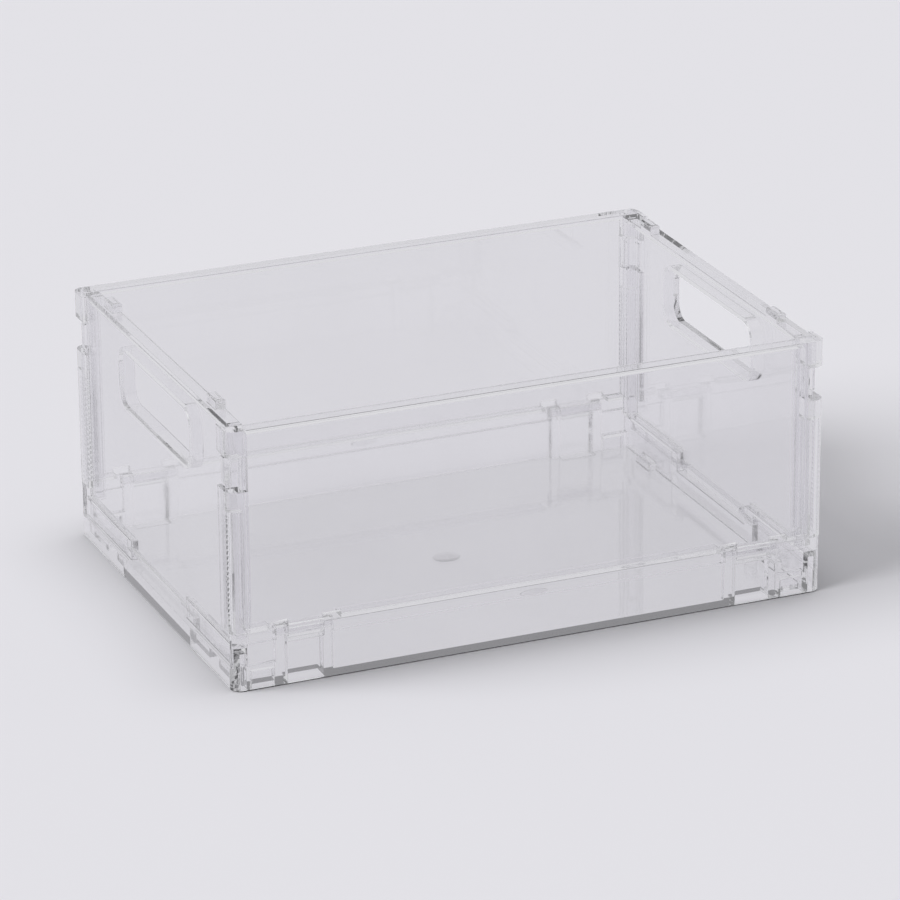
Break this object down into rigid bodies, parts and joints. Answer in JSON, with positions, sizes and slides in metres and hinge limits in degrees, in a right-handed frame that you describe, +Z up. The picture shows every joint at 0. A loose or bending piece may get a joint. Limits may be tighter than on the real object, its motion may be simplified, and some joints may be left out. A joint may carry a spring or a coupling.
{
  "type": "folding storage crate",
  "caption": "Open-top folding storage crate in clear plastic, with end walls that fold in on hinge pins, hand holes, notched corners and stacking lugs",
  "frame": {"origin": "centre of the underside of the base, on the surface that the crate stands on", "axes": "X along the long side with +X to the right, Y across the crate with the front at -Y, Z up"},
  "size_m": [0.3, 0.214, 0.1317],
  "materials": {
    "clear_base": "clear injection-moulded plastic, polished",
    "clear_wall": "clear injection-moulded plastic, polished",
    "clear_pin": "clear plastic rod, smooth"
  },
  "bodies": {
    "base": {"base_tray": "clear_base", "front_wall": "clear_wall", "back_wall": "clear_wall", "front_left_hinge_pin": "clear_pin", "front_right_hinge_pin": "clear_pin", "back_left_hinge_pin": "clear_pin", "back_right_hinge_pin": "clear_pin", "left_front_end_pin": "clear_pin", "left_back_end_pin": "clear_pin", "right_front_end_pin": "clear_pin", "right_back_end_pin": "clear_pin"},
    "left_end": {"left_end_wall": "clear_wall"},
    "right_end": {"right_end_wall": "clear_wall"}
  },
  "joints": [
    {"name": "left_end_fold", "type": "hinge", "parent": "base", "child": "left_end", "pos_m": [-0.1444, 0, 0.0142], "axis": [0, 1, 0], "range_deg": [0, 90]},
    {"name": "right_end_fold", "type": "hinge", "parent": "base", "child": "right_end", "pos_m": [0.1444, 0, 0.0142], "axis": [0, -1, 0], "range_deg": [0, 90]}
  ]
}
